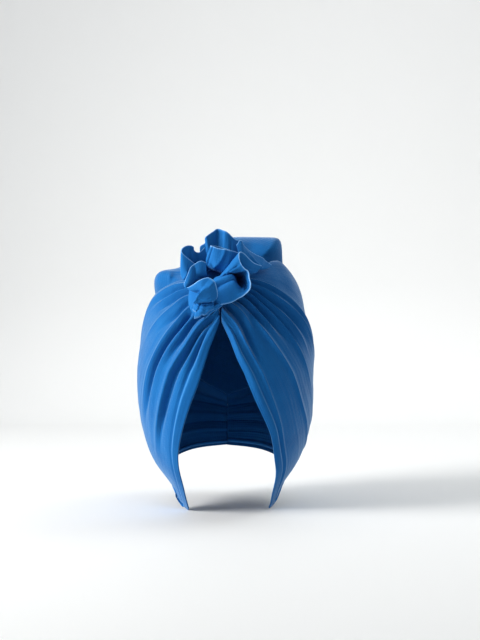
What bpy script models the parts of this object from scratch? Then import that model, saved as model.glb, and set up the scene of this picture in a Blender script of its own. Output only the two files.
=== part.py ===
"""A pre-tied turban in cotton jersey, in the form it takes on a head.

Metres, +Z up, the face opening towards -Y. The origin is the head's crown, where the cloth sits on it.
Every surface is drawn on the egg of the head: a direction from the egg's middle, and a lift off the head.
A direction is given as an azimuth, in degrees round from the front with the viewer's right positive, and a
height, which is the sine of its elevation. Widths, depths and heights of a fold are shares of named sizes.
"""
import bpy
import numpy as np

HEAD_HALF_WIDTH = 0.0805    # middle of the head to its side, at the widest level
HEAD_FRONT = 0.0945         # middle of the head to the forehead
HEAD_BACK = 0.0980          # middle of the head to the back of it
HEAD_TOP = 0.1055           # widest level up to the crown
HEAD_BOTTOM = 0.1440        # widest level down to the end of the jaw
JAW_DRAW = 0.0062           # the cloth draws in at the side of the jaw
JAW_HEIGHT = -0.74          # height at which it does so most, and half the height of the hollow
JAW_REACH = 0.12

CLOTH = 0.0013              # doubled jersey
LAYER_GAP = 0.0007          # clearance between one layer and the next
SEAT_LIFT = 0.0004          # the lowest layer off the head
PLEAT = 0.0040              # the highest pleat, at the knot
HEM_RISE = 0.0008           # the folded hem stands this far proud
HEM_SHARE = 0.060           # its width as a share of the panel
HEM_STEP = (0.6, 1.2)       # the hem steps down between these shares of its width
PLEAT_SPREAD = 1.6          # foot of a pleat as a multiple of its half width
PLEAT_ROUND = 1.6           # roundness of a pleat's ridge
PLEAT_FADE = 0.25           # share of a pleat's length that keeps its full height
CLIMB = (0.72, 0.88)        # shares across a panel between which it climbs over the band
CREASE = 7.0                # sharpness of the creases round the bag's slack; at 7.6 its inside folds over
RING_CROWD = 0.35           # how much closer the bag's rings lie midway down, where its folds are
PANEL_TUCK = 0.10           # share of a panel that lies over the cloth behind it
BAG_TOP = (180.0, 0.94)     # azimuth and height of the point that the bag's rings run round
SLACK_RIGHT = (0.38, 0.61)  # shares down the bag where its slack runs out, on the right and on the left
SLACK_LEFT = (0.72, 0.87)
SLACK_CHANGE = (0.34, 0.48)  # shares round the bag between which the left goes over into the right
BAND_BESIDE = (0.02, 0.90)  # shares along the right panel between which the band's lower edge runs
BAND_RISE = 0.35            # share across the band from which it stands off the bag

ROSETTE_SPAN = 0.080        # the rosette across its ruffles
ROSETTE_X = -0.005          # middle of the rosette
ROSETTE_Y = -0.078
ROSETTE_Z = -0.022
MOUND_LIFT = 0.0150         # the gathered base of the rosette off the head
MOUND_RADIUS = 16.5         # degrees from its middle to its rim
MOUND_SPREAD = 8.5          # further degrees towards the crumpled cloth, low on the left
MOUND_TURN = 247.0          # that direction, in degrees round from the right through the top
MOUND_POINT = 4             # how narrow that spread is
MOUND_SWELL = 2.2           # how flat the base is on top
MOUND_OVER = 0.75           # its rim clears this share of a pleat's height
MOUND_CRUMPLE = 0.5         # share out from its middle at which the crumpled folds begin
MOUND_AZIMUTH = -8.0        # direction of the base's middle
MOUND_HEIGHT = 0.76
RUFFLE = 0.0010             # the single cloth of a ruffle
RUFFLE_GAP = 0.0011         # a ruffle's root off the gathered base
ROOT_PULL = 0.80            # a ruffle's root nearer the rosette's middle than its belly is
SEAT_STEPS = 5              # steps that bring a root to the base straight behind its belly

PANEL_GRID = (20, 30)       # cells along and across a panel
CROWN_GRID = (48, 13)       # cells round and down the bag
BAND_GRID = (16, 6)
MOUND_GRID = (30, 5)
RUFFLE_GRID = (22, 4)

# Panel sections from the knot to the back: hem azimuth and height, top azimuth and height, and the
# crowding, under 1 where the pleats lie closer to the top fold
LEFT_SECTIONS = (
    (-3.2, 0.400, -24, 0.760, 0.60),
    (-8.5, 0.200, -40, 0.725, 0.66),
    (-14.5, -0.040, -55, 0.690, 0.72),
    (-24.0, -0.265, -71, 0.635, 0.82),
    (-34.0, -0.500, -87, 0.560, 0.95),
    (-41.5, -0.720, -102, 0.465, 1.00),
    (-57.0, -0.868, -117, 0.350, 1.00),
    (-85.0, -0.752, -133, 0.210, 1.00),
    (-114.0, -0.645, -150, 0.060, 1.00),
    (-147.0, -0.580, -166, -0.080, 1.00),
    (-179.7, -0.555, -179.7, -0.180, 1.00),
)
RIGHT_SECTIONS = (
    (-1.8, 0.400, 13, 0.760, 0.85),
    (3.5, 0.255, 25, 0.730, 0.87),
    (10.0, 0.075, 39, 0.690, 0.90),
    (19.0, -0.160, 54, 0.600, 0.94),
    (30.0, -0.370, 68, 0.460, 1.00),
    (40.5, -0.580, 81, 0.300, 1.00),
    (65.0, -0.864, 98, 0.180, 1.00),
    (88.0, -0.752, 118, 0.080, 1.00),
    (115.0, -0.645, 139, -0.010, 1.00),
    (147.0, -0.580, 161, -0.100, 1.00),
    (179.7, -0.555, 179.7, -0.180, 1.00),
)

# Pleats: share across the panel, half width, height as a share of PLEAT, and where it starts and ends
# along the panel
LEFT_PLEATS = (
    (0.100, 0.050, 0.55, 0.00, 0.62),
    (0.195, 0.040, 0.60, 0.00, 0.40),
    (0.285, 0.045, 0.85, 0.00, 0.55),
    (0.420, 0.070, 0.90, 0.00, 0.50),
    (0.560, 0.070, 0.70, 0.00, 0.34),
    (0.690, 0.060, 0.80, 0.00, 0.36),
    (0.810, 0.055, 0.75, 0.00, 0.42),
    (0.920, 0.050, 0.60, 0.00, 0.40),
)
RIGHT_PLEATS = (
    (0.125, 0.045, 0.95, 0.00, 0.52),
    (0.285, 0.060, 0.65, 0.00, 0.36),
    (0.430, 0.050, 0.95, 0.00, 0.50),
    (0.600, 0.050, 0.85, 0.00, 0.46),
    (0.735, 0.040, 0.85, 0.00, 0.38),
    (0.840, 0.038, 0.80, 0.00, 0.42),
    (0.940, 0.036, 0.75, 0.00, 0.50),
)

# Soft boxes that the slack bag fills: middle as shares of the head's half width, front and top, half
# sizes as shares of them, squareness
SLACK_BOXES = (
    (0.345, 0.270, 0.790, 0.345, 0.290, 0.400, 9.0),     # the boxy fold, upper right
    (-0.560, -0.080, 0.650, 0.310, 0.240, 0.222, 5.0),   # the corner fold, left
    (0.000, 0.450, 0.420, 0.660, 0.620, 0.560, 2.4),     # the back of the bag
)

# The band's upper edge from the knot to the back: azimuth, height, lift as a share of HEAD_TOP
BAND_EDGE = (
    (14, 0.790, 0.040),
    (29, 0.815, 0.045),
    (48, 0.850, 0.050),
    (68, 0.858, 0.095),
    (88, 0.825, 0.146),
    (104, 0.730, 0.134),
    (122, 0.560, 0.085),
    (140, 0.310, 0.055),
    (158, 0.030, 0.040),
)

# Crumpled folds of the gathered base: turn from the right in degrees, half width in degrees, height as a
# share of PLEAT
MOUND_FOLDS = (
    (212, 12, 0.60),
    (236, 11, 0.80),
    (256, 10, 0.90),
    (276, 10, 0.60),
    (310, 14, 0.50),
)

# Ruffles of the rosette. Each row is a section from the free edge through its belly to the gathered
# base: the edge across, up and out, then the belly across, up and out, all from the middle of the
# rosette in hundredths of ROSETTE_SPAN
RUFFLE_FRONT = (
    (-5, 10, 28, -8, -4, 29),
    (-14, 14, 29, -15, -2, 30),
    (-22, 16, 31, -21, -1, 32),
    (-30, 9, 36, -26, -5, 38),
    (-36, -6, 43, -30, -16, 43),
    (-35, -15, 48, -27, -22, 45),
    (-27, -11, 51, -24, -27, 48),
    (-18, -5, 52, -24, -30, 49),
    (-11, -3, 52, -26, -33, 49),
    (-5, -8, 51, -20, -34, 48),
    (-1, -16, 48, -13, -35, 45),
    (-5, -26, 43, -8, -33, 41),
)
RUFFLE_RIGHT = (
    (-8, -23, 31, -11, -15, 34),
    (-2, -29, 32, -8, -16, 36),
    (7, -32, 34, -4, -13, 40),
    (16, -29, 38, 1, -10, 41),
    (27, -22, 41, 11, -8, 40),
    (34, -15, 41, 21, -12, 32),
    (35, -9, 39, 27, -11, 28),
    (32, -3, 39, 28, -5, 26),
    (30, 4, 40, 26, 1, 31),
    (24, 11, 43, 15, 0, 40),
    (21, 19, 39, 8, 0, 40),
    (23, 25, 32, 0, 0, 35),
    (29, 22, 26, 15, 10, 28),
    (34, 18, 18, 25, 10, 18),
    (40, 13, 8, 32, 8, 10),
    (47, 11, -1, 38, 5, 3),
)
RUFFLE_MIDDLE = (
    (22, 25, 12, 14, 15, 12),
    (14, 27, 16, 11, 12, 15),
    (5, 29, 18, 1, 11, 15),
    (-3, 31, 16, -8, 11, 14),
    (-9, 32, 11, -14, 12, 10),
    (-6, 33, 5, -10, 14, 5),
    (2, 32, 1, -1, 16, 3),
    (10, 30, 0, 7, 18, 1),
)
RUFFLE_TOP = (
    (-22, 29, -12, -15, 17, -8),
    (-20, 35, -15, -13, 19, -9),
    (-16, 44, -16, -11, 20, -10),
    (-11, 49, -19, -7, 21, -11),
    (-2, 54, -23, -2, 22, -14),
    (5, 51, -20, 5, 22, -12),
    (11, 47, -19, 11, 22, -12),
    (16, 43, -23, 16, 22, -16),
    (21, 42, -29, 21, 24, -23),
)
RUFFLE_LEFT = (
    (-41, 0, 14, -32, -2, 18),
    (-41, 13, 18, -33, 3, 20),
    (-41, 26, 16, -33, 8, 18),
    (-36, 30, 11, -32, 12, 12),
    (-30, 32, 5, -27, 15, 9),
    (-27, 27, 1, -23, 11, 5),
    (-22, 21, 1, -19, 7, 5),
    (-18, 24, -1, -17, 15, 1),
)
RUFFLE_BACK = (
    (16, 29, -6, 21, 16, -1),
    (19, 35, -12, 24, 17, -6),
    (24, 41, -20, 27, 21, -11),
    (31, 34, -25, 31, 18, -14),
    (40, 26, -32, 38, 14, -19),
    (51, 21, -43, 46, 12, -26),
    (60, 18, -52, 54, 12, -36),
)


def clear_scene():
    """Remove the startup objects."""
    for thing in list(bpy.data.objects):
        bpy.data.objects.remove(thing, do_unlink=True)


def direction(azimuth, height):
    """Unit direction at an azimuth in degrees from the front and a height, the sine of its elevation."""
    angle = np.radians(azimuth)
    flat = np.sqrt(1.0 - np.square(height))
    return np.stack([flat * np.sin(angle), -flat * np.cos(angle), height + 0.0 * angle], axis=-1)


def on_head(aim, lift=0.0):
    """Point of the head's egg in a direction, lifted off it."""
    flat = np.square(aim[..., 0]) / np.maximum(1.0 - np.square(aim[..., 2]), 1e-6)
    drawn = JAW_DRAW * flat * np.exp(-np.square((aim[..., 2] - JAW_HEIGHT) / JAW_REACH))
    reach = np.stack([
        HEAD_HALF_WIDTH + lift - drawn,
        np.where(aim[..., 1] < 0.0, HEAD_FRONT, HEAD_BACK) + lift,
        np.where(aim[..., 2] > 0.0, HEAD_TOP, HEAD_BOTTOM) + lift,
    ], axis=-1)
    return reach * aim - np.array([0.0, 0.0, HEAD_TOP])


def turn_between(start, end, share):
    """Direction a share of the way along the great circle from start to end."""
    angle = np.arccos(np.clip(np.sum(start * end, axis=-1), -1.0, 1.0))
    angle = np.maximum(angle, 1e-6)
    mixed = (start * np.sin((1.0 - share) * angle)[..., None]
             + end * np.sin(share * angle)[..., None])
    return mixed / np.linalg.norm(mixed, axis=-1, keepdims=True)


def through(rows, share):
    """Smooth curve through the rows, read at shares 0 to 1 of the way down the table."""
    rows = np.asarray(rows, dtype=float)
    padded = np.vstack([2.0 * rows[0] - rows[1], rows, 2.0 * rows[-1] - rows[-2]])
    place = np.clip(np.asarray(share, dtype=float) * (len(rows) - 1), 0.0, len(rows) - 1 - 1e-9)
    row = place.astype(int)
    part = (place - row)[..., None]
    before, here, following, after = (padded[row + step] for step in range(4))
    return 0.5 * (2.0 * here + (following - before) * part
                  + (2.0 * before - 5.0 * here + 4.0 * following - after) * part ** 2
                  + (3.0 * here - before - 3.0 * following + after) * part ** 3)


def ease(value, low, high):
    """Smooth step from 0 at low to 1 at high."""
    share = np.clip((value - low) / (high - low), 0.0, 1.0)
    return share * share * (3.0 - 2.0 * share)


def grid_shares(along, across):
    """Shares 0 to 1 of a grid of cells."""
    return np.meshgrid(np.linspace(0.0, 1.0, along + 1), np.linspace(0.0, 1.0, across + 1), indexing="ij")


def grid_faces(rows, columns, closed=False):
    """Quads of a grid of points; closed joins the last row to the first."""
    index = np.arange(rows * columns).reshape(rows, columns)
    if closed:
        index = np.vstack([index, index[:1]])
    quads = np.stack([index[:-1, :-1], index[1:, :-1], index[1:, 1:], index[:-1, 1:]], axis=-1)
    return quads.reshape(-1, 4).tolist()


def material(name, colour, roughness):
    """Matt cloth of one colour."""
    paint = bpy.data.materials.new(name)
    paint.use_nodes = True
    shader = paint.node_tree.nodes["Principled BSDF"]
    shader.inputs["Base Color"].default_value = (*colour, 1.0)
    shader.inputs["Roughness"].default_value = roughness
    shader.inputs["Metallic"].default_value = 0.0
    return paint


def cloth_object(name, points, faces, wall, paint, collection, flip=False):
    """Open surface given a wall on its outer side."""
    mesh = bpy.data.meshes.new(name)
    if flip:
        faces = [face[::-1] for face in faces]
    mesh.from_pydata(points.reshape(-1, 3).tolist(), [], faces)
    mesh.materials.append(paint)
    mesh.shade_smooth()
    piece = bpy.data.objects.new(name, mesh)
    collection.objects.link(piece)
    shell = piece.modifiers.new("wall", "SOLIDIFY")
    shell.thickness = wall
    shell.offset = 1.0
    shell.use_even_offset = False
    return piece


def panel_aim(sections, along, across):
    """Direction on a front panel: along from the knot to the back, across from the hem to the top."""
    row = through(sections, along)
    hem = direction(row[..., 0], row[..., 1])
    top = direction(row[..., 2], row[..., 3])
    return turn_between(hem, top, across ** row[..., 4])


def pleat_rise(pleats, along, across):
    """Height of the pleats: rounded ridges that run out along the panel."""
    rise = np.zeros_like(along)
    for place, half_width, height, start, end in pleats:
        away = np.abs(across - place) / (PLEAT_SPREAD * half_width)
        ridge = np.clip(1.0 - away ** PLEAT_ROUND, 0.0, 1.0)
        fade = 1.0 - ease(along, start + PLEAT_FADE * (end - start), end)
        rise = np.maximum(rise, height * PLEAT * ridge * fade)
    return rise


def panel_points(sections, pleats, along, across):
    """Inner side of a front panel, lifted over the bag and, at its top, over the band."""
    over_bag = SEAT_LIFT + (CLOTH + LAYER_GAP) * (1.0 + ease(across, *CLIMB))
    hem = HEM_RISE * (1.0 - ease(across / HEM_SHARE, *HEM_STEP))
    lift = over_bag + hem + pleat_rise(pleats, along, across)
    return on_head(panel_aim(sections, along, across), lift)


def add_panel(name, sections, pleats, paint, collection):
    """One front panel with its pleats and hem."""
    along, across = grid_shares(*PANEL_GRID)
    points = panel_points(sections, pleats, along, across)
    faces = grid_faces(PANEL_GRID[0] + 1, PANEL_GRID[1] + 1)
    return cloth_object(name, points, faces, CLOTH, paint, collection, flip=sections is LEFT_SECTIONS)


def band_aim(along, across):
    """Direction on the band: along from the knot to the back, across from under the panel upwards."""
    beside = BAND_BESIDE[0] + (BAND_BESIDE[1] - BAND_BESIDE[0]) * along
    low = panel_aim(RIGHT_SECTIONS, beside, np.full_like(along, 1.0 - PANEL_TUCK))
    edge = through(BAND_EDGE, along)
    return turn_between(low, direction(edge[..., 0], edge[..., 1]), across)


def band_lift(along, across):
    """The band lies on the bag under the panel and stands off it towards its upper edge."""
    low = SEAT_LIFT + CLOTH + LAYER_GAP
    edge = through(BAND_EDGE, along)[..., 2] * HEAD_TOP
    return low + np.maximum(edge - low, 0.0) * ease(across, BAND_RISE, 1.0)


def add_band(paint, collection):
    """The smooth band above the right panel."""
    along, across = grid_shares(*BAND_GRID)
    points = on_head(band_aim(along, across), band_lift(along, across))
    faces = grid_faces(BAND_GRID[0] + 1, BAND_GRID[1] + 1)
    return cloth_object("band_right", points, faces, CLOTH, paint, collection)


def crown_rim(round_share):
    """Direction of the bag's rim, under the left panel, the back of the panels and the band."""
    left = panel_aim(LEFT_SECTIONS, np.clip(2.0 * round_share, 0.0, 1.0),
                     np.full_like(round_share, 1.0 - PANEL_TUCK))
    right = panel_aim(RIGHT_SECTIONS, np.clip(2.0 - 2.0 * round_share, 0.0, 1.0),
                      np.full_like(round_share, 1.0 - PANEL_TUCK))
    return np.where((round_share < 0.5)[..., None], left, right)


def push_out(points, box):
    """Push points that lie in a soft box out to its surface, along lines from its middle."""
    size = np.array([HEAD_HALF_WIDTH, HEAD_FRONT, HEAD_TOP])
    middle = np.array(box[:3]) * size - np.array([0.0, 0.0, HEAD_TOP])
    half = np.array(box[3:6]) * size
    line = points - middle
    reach = np.linalg.norm(line, axis=-1)
    aim = line / reach[..., None]
    wall = np.sum(np.abs(aim / half) ** box[6], axis=-1) ** (-1.0 / box[6])
    blend = (reach ** CREASE + wall ** CREASE) ** (1.0 / CREASE)
    return middle + aim * blend[..., None]


def crown_points(round_share, down):
    """Inner side of the bag: round is 0 to 1 about its top, down is 0 at the top and 1 at the rim."""
    top = np.broadcast_to(direction(*BAG_TOP), (*np.shape(round_share), 3))
    aim = turn_between(top, crown_rim(round_share), down)
    snug = on_head(aim, SEAT_LIFT)
    slack = snug
    for box in SLACK_BOXES:
        slack = push_out(slack, box)
    right = ease(round_share, *SLACK_CHANGE)
    on_left = 1.0 - ease(down, *SLACK_LEFT)
    on_right = 1.0 - ease(down, *SLACK_RIGHT)
    loose = on_left + (on_right - on_left) * right
    return snug + (slack - snug) * loose[..., None]


def add_crown(paint, collection):
    """The slack bag over the head."""
    around, rings = CROWN_GRID
    round_share, down = np.meshgrid(np.arange(around) / around, np.arange(1, rings + 1) / rings,
                                    indexing="ij")
    ringed = crown_points(round_share, down + RING_CROWD * np.sin(2.0 * np.pi * down) / (2.0 * np.pi))
    tip = crown_points(np.zeros(1), np.zeros(1))
    faces = grid_faces(around, rings, closed=True)
    tip_index = around * rings
    faces += [[tip_index, ((column + 1) % around) * rings, column * rings] for column in range(around)]
    points = np.vstack([ringed.reshape(-1, 3), tip])
    return cloth_object("crown_bag", points, faces, CLOTH, paint, collection)


def mound_frame():
    """Unit directions on the gathered base: its middle, to the viewer's right, and up."""
    middle = direction(MOUND_AZIMUTH, MOUND_HEIGHT)
    side = np.array([np.cos(np.radians(MOUND_AZIMUTH)), np.sin(np.radians(MOUND_AZIMUTH)), 0.0])
    return middle, side, np.cross(middle, side)


def mound_reach(turn):
    """Degrees from the middle of the base to its rim in a direction round it."""
    towards = np.clip(np.cos(turn - np.radians(MOUND_TURN)), 0.0, 1.0)
    return MOUND_RADIUS + MOUND_SPREAD * towards ** MOUND_POINT


def mound_aim(turn, out):
    """Direction on the gathered base: turn round its middle, out from 0 at the middle to 1 at the rim."""
    middle, side, up = mound_frame()
    away = side * np.cos(turn)[..., None] + up * np.sin(turn)[..., None]
    angle = np.radians(mound_reach(turn) * out)
    return middle * np.cos(angle)[..., None] + away * np.sin(angle)[..., None]


def mound_lift(turn, out):
    """The base swells from its rim, just over the pleats, to its middle, with folds that fade inwards."""
    rim = SEAT_LIFT + 3.0 * (CLOTH + LAYER_GAP) + MOUND_OVER * PLEAT
    lift = rim + (MOUND_LIFT - rim) * (1.0 - out ** MOUND_SWELL)
    for place, half_width, height in MOUND_FOLDS:
        ridge = np.clip(1.0 - np.abs(turn - np.radians(place)) / np.radians(half_width), 0.0, 1.0)
        lift = lift + height * PLEAT * ridge * ease(out, MOUND_CRUMPLE, 1.0)
    return lift


def add_mound(paint, collection):
    """The gathered base of the rosette, with its small crumpled folds."""
    around, rings = MOUND_GRID
    turn, out = np.meshgrid(2.0 * np.pi * np.arange(around) / around, np.arange(1, rings + 1) / rings,
                            indexing="ij")
    ringed = on_head(mound_aim(turn, out), mound_lift(turn, out))
    tip = on_head(mound_aim(np.zeros(1), np.zeros(1)), mound_lift(np.zeros(1), np.zeros(1)))
    faces = grid_faces(around, rings, closed=True)
    tip_index = around * rings
    faces += [[tip_index, ((column + 1) % around) * rings, column * rings] for column in range(around)]
    points = np.vstack([ringed.reshape(-1, 3), tip])
    return cloth_object("knot_wrap", points, faces, CLOTH, paint, collection, flip=True)


def on_mound(points):
    """Points moved along lines from the head's middle to just outside the gathered base."""
    middle = np.array([0.0, 0.0, -HEAD_TOP])
    aim = points - middle
    scaled = aim / np.array([HEAD_HALF_WIDTH, HEAD_FRONT, HEAD_TOP])
    unit = scaled / np.linalg.norm(scaled, axis=-1, keepdims=True)
    centre, side, up = mound_frame()
    turn = np.mod(np.arctan2(unit @ up, unit @ side), 2.0 * np.pi)
    away = np.degrees(np.arccos(np.clip(unit @ centre, -1.0, 1.0))) / mound_reach(turn)
    return on_head(unit, mound_lift(turn, np.clip(away, 0.0, 1.0)) + CLOTH + RUFFLE_GAP)


def seat_on_mound(points):
    """Points of the gathered base straight behind the given ones, found step by step."""
    seat = points
    for _ in range(SEAT_STEPS):
        seat = np.stack([points[..., 0], on_mound(seat)[..., 1], points[..., 2]], axis=-1)
    return on_mound(seat)


def ruffle_points(rows, along, down):
    """Ruffle surface: each section bends from the free edge through its belly to its seat on the base."""
    row = through(rows, along) * 0.01 * ROSETTE_SPAN
    middle = np.array([ROSETTE_X, ROSETTE_Y, ROSETTE_Z])
    edge = middle + np.stack([row[..., 0], -row[..., 2], row[..., 1]], axis=-1)
    belly = middle + np.stack([row[..., 3], -row[..., 5], row[..., 4]], axis=-1)
    root = seat_on_mound(middle + (belly - middle) * np.array([ROOT_PULL, 1.0, ROOT_PULL]))
    down = down[..., None]
    return (1.0 - down) ** 2 * edge + 2.0 * down * (1.0 - down) * belly + down ** 2 * root


def add_ruffle(name, rows, paint, collection):
    """One ruffle of the rosette."""
    along, down = grid_shares(*RUFFLE_GRID)
    points = ruffle_points(rows, along, down)
    faces = grid_faces(RUFFLE_GRID[0] + 1, RUFFLE_GRID[1] + 1)
    piece = cloth_object(name, points, faces, RUFFLE, paint, collection)
    piece.modifiers["wall"].offset = 0.0
    return piece


def build():
    """The whole headwrap."""
    clear_scene()
    collection = bpy.data.collections.new("turban_headwrap")
    bpy.context.scene.collection.children.link(collection)
    jersey = material("jersey", (0.022, 0.130, 0.420), 0.85)
    hem_jersey = material("ruffle_jersey", (0.030, 0.155, 0.470), 0.85)
    add_crown(jersey, collection)
    add_panel("panel_left", LEFT_SECTIONS, LEFT_PLEATS, jersey, collection)
    add_panel("panel_right", RIGHT_SECTIONS, RIGHT_PLEATS, jersey, collection)
    add_band(jersey, collection)
    add_mound(hem_jersey, collection)
    add_ruffle("ruffle_front", RUFFLE_FRONT, hem_jersey, collection)
    add_ruffle("ruffle_right", RUFFLE_RIGHT, hem_jersey, collection)
    add_ruffle("ruffle_middle", RUFFLE_MIDDLE, hem_jersey, collection)
    add_ruffle("ruffle_top", RUFFLE_TOP, hem_jersey, collection)
    add_ruffle("ruffle_left", RUFFLE_LEFT, hem_jersey, collection)
    add_ruffle("ruffle_back", RUFFLE_BACK, hem_jersey, collection)


build()
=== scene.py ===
# %% [markdown]
# # A turban headwrap in blue cotton jersey
#
# A pre-tied turban is a slack bag over the crown, two pleated panels that meet in an upside-down V over the
# brow, and a rosette of ruffles where they are gathered. Jersey has no stiffness of its own, so nearly
# everything that the eye reads here is folds: where they start, how sharp they are and how they die out.
# Each piece below is one surface, worked out as a whole grid of points with numpy and given a wall.

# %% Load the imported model
import bpy
import numpy as np
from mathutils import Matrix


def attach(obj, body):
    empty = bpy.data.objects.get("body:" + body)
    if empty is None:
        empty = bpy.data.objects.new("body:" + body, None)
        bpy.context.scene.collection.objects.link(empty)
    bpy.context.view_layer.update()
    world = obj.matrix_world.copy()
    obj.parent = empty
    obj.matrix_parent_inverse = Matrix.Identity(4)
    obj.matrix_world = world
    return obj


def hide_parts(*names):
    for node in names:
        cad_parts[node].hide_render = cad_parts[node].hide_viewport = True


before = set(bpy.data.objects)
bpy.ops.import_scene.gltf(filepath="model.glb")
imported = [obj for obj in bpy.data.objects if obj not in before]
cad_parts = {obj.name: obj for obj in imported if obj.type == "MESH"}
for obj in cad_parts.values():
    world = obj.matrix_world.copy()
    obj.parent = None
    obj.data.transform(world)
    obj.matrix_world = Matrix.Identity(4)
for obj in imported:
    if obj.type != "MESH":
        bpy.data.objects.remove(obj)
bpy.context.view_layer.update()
MM = 0.001

# %% [markdown]
# ## Camera, floor and light
#
# The camera stands a metre in front and is level. Four lights stand for a bright room: a wide window on the
# left, which is the strongest, a pale room behind on the right, a light that washes the wall, and a weak one
# from the front. The floor is one sheet that runs back and curves up, so that no line is drawn behind.

# %% Camera
SENSOR_HEIGHT, FOCAL_LENGTH = 36.0, 59.34      # mm; a pixel is then 0.95 mm at one metre
lens = bpy.data.cameras.new("camera")
lens.sensor_fit = "VERTICAL"
lens.sensor_height = SENSOR_HEIGHT
lens.lens = FOCAL_LENGTH
camera = bpy.data.objects.new("camera", lens)
camera.location = (0.013, -1.0, -0.060)
camera.rotation_euler = (np.pi / 2.0, 0.0, 0.0)
bpy.context.collection.objects.link(camera)
bpy.context.scene.camera = camera
bpy.context.scene.view_settings.view_transform = "Standard"
bpy.context.scene.view_settings.look = "Medium High Contrast"
print("camera at", tuple(camera.location))


# %% Floor and backdrop
FLOOR_LEVEL = -0.2352
FLOOR_BEND = 0.25               # radius of the curve from the floor into the wall


def sheet_mesh(name, points, smooth=True):
    """A mesh from a grid of points: every four neighbours make one face."""
    rows, columns = points.shape[:2]
    index = np.arange(rows * columns).reshape(rows, columns)
    quads = np.stack([index[:-1, :-1], index[1:, :-1], index[1:, 1:], index[:-1, 1:]], axis=-1)
    mesh = bpy.data.meshes.new(name)
    mesh.from_pydata(points.reshape(-1, 3).tolist(), [], quads.reshape(-1, 4).tolist())
    if smooth:
        mesh.shade_smooth()
    return mesh


def floor_points(steps=40):
    """A flat floor that turns up through a quarter circle into an upright wall."""
    bend = np.linspace(0.0, np.pi / 2.0, steps)
    back = np.concatenate([[-1.4], 0.75 + FLOOR_BEND * np.sin(bend), [1.0]])
    up = np.concatenate([[0.0], FLOOR_BEND * (1.0 - np.cos(bend)), [1.9]])
    across = np.array([-2.2, 2.2])
    x, y = np.meshgrid(across, back, indexing="ij")
    z = np.broadcast_to(up, x.shape) + FLOOR_LEVEL
    return np.stack([x, y, z], axis=-1)


floor = bpy.data.objects.new("floor", sheet_mesh("floor", floor_points()))
bpy.context.collection.objects.link(floor)
plaster = bpy.data.materials.new("pale_plaster")
plaster.use_nodes = True
plaster_shader = plaster.node_tree.nodes["Principled BSDF"]
plaster_shader.inputs["Base Color"].default_value = (0.86, 0.865, 0.86, 1.0)
plaster_shader.inputs["Roughness"].default_value = 0.7
floor.data.materials.append(plaster)
print("floor and wall:", len(floor.data.polygons), "faces")


# %% Lights
def window(name, place, aim, size, power, colour, spread=180.0):
    """A rectangular light at a place, turned to face a point, shining within a spread in degrees."""
    light = bpy.data.lights.new(name, "AREA")
    light.shape = "RECTANGLE"
    light.size, light.size_y = size
    light.energy = power
    light.color = colour
    light.spread = np.radians(spread)
    lamp = bpy.data.objects.new(name, light)
    lamp.location = place
    away = np.array(place) - np.array(aim)
    flat = np.hypot(away[0], away[1])
    lamp.rotation_euler = (np.arctan2(flat, away[2]), 0.0, np.arctan2(away[0], -away[1]))
    bpy.context.collection.objects.link(lamp)
    return lamp


MIDDLE = (0.0, 0.0, -0.11)
window("window_left", (-1.60, -0.62, 0.45), MIDDLE, (0.8, 1.0), 9.0, (1.0, 0.985, 0.96), 75.0)
window("room_right", (1.10, 0.40, 1.15), MIDDLE, (0.9, 1.2), 2.0, (0.92, 0.98, 1.0), 100.0)
window("wall_wash", (0.0, 0.25, 1.45), (0.0, 1.0, 0.1), (2.4, 0.5), 4.2, (1.0, 1.0, 1.0), 120.0)
window("room_front", (0.45, -1.70, 0.75), MIDDLE, (1.4, 1.0), 1.7, (0.96, 0.98, 1.0), 110.0)
world = bpy.data.worlds.new("room")
world.use_nodes = True
world.node_tree.nodes["Background"].inputs["Color"].default_value = (0.95, 0.97, 1.0, 1.0)
world.node_tree.nodes["Background"].inputs["Strength"].default_value = 0.26
bpy.context.scene.world = world

# %% [markdown]
# ## The egg of the head
#
# Every layer lies on the same form, so a place on the cloth is a direction from the egg's middle and a lift
# off it. An azimuth is counted round from the front, and a height is the sine of the elevation. The sizes are
# those of the solid model, repeated here because this lesson reads no other file of its own.

# %% Sizes of the head and the cloth
HEAD_HALF_WIDTH, HEAD_FRONT, HEAD_BACK = 0.0805, 0.0945, 0.0980
HEAD_TOP, HEAD_BOTTOM = 0.1055, 0.1440
CLOTH, LAYER_GAP, SEAT_LIFT = 0.0013, 0.0007, 0.0004
JERSEY_WALL, RUFFLE_WALL = 0.0011, 0.9 * MM
print("head form in mm:", 2000 * HEAD_HALF_WIDTH, "wide,", round(1000 * (HEAD_FRONT + HEAD_BACK), 1), "deep")


# %% Curves and directions
def ease(value, low, high):
    """A smooth step: 0 below low, 1 above high, three squares less two cubes between."""
    share = np.clip((value - low) / (high - low), 0.0, 1.0)
    return share * share * (3.0 - 2.0 * share)


def through(rows, share):
    """A Catmull-Rom curve through the rows of a table, read at shares 0 to 1 of the way down."""
    rows = np.asarray(rows, dtype=float)
    padded = np.concatenate([[2.0 * rows[0] - rows[1]], rows, [2.0 * rows[-1] - rows[-2]]])
    place = np.clip(np.asarray(share, dtype=float), 0.0, 1.0 - 1e-9) * (len(rows) - 1)
    row = place.astype(int)
    part = (place - row).reshape(place.shape + (1,) * (rows.ndim - 1))
    before, here, after, beyond = (padded[row + step] for step in range(4))
    return 0.5 * (2.0 * here + (after - before) * part
                  + (2.0 * before - 5.0 * here + 4.0 * after - beyond) * part ** 2
                  + (3.0 * here - before - 3.0 * after + beyond) * part ** 3)


def direction(azimuth, height):
    """Unit vector: the height upwards, what is left of it round by the azimuth."""
    angle = np.radians(azimuth)
    flat = np.sqrt(1.0 - np.square(height))
    return np.stack([flat * np.sin(angle), -flat * np.cos(angle), height + 0.0 * angle], axis=-1)


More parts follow.
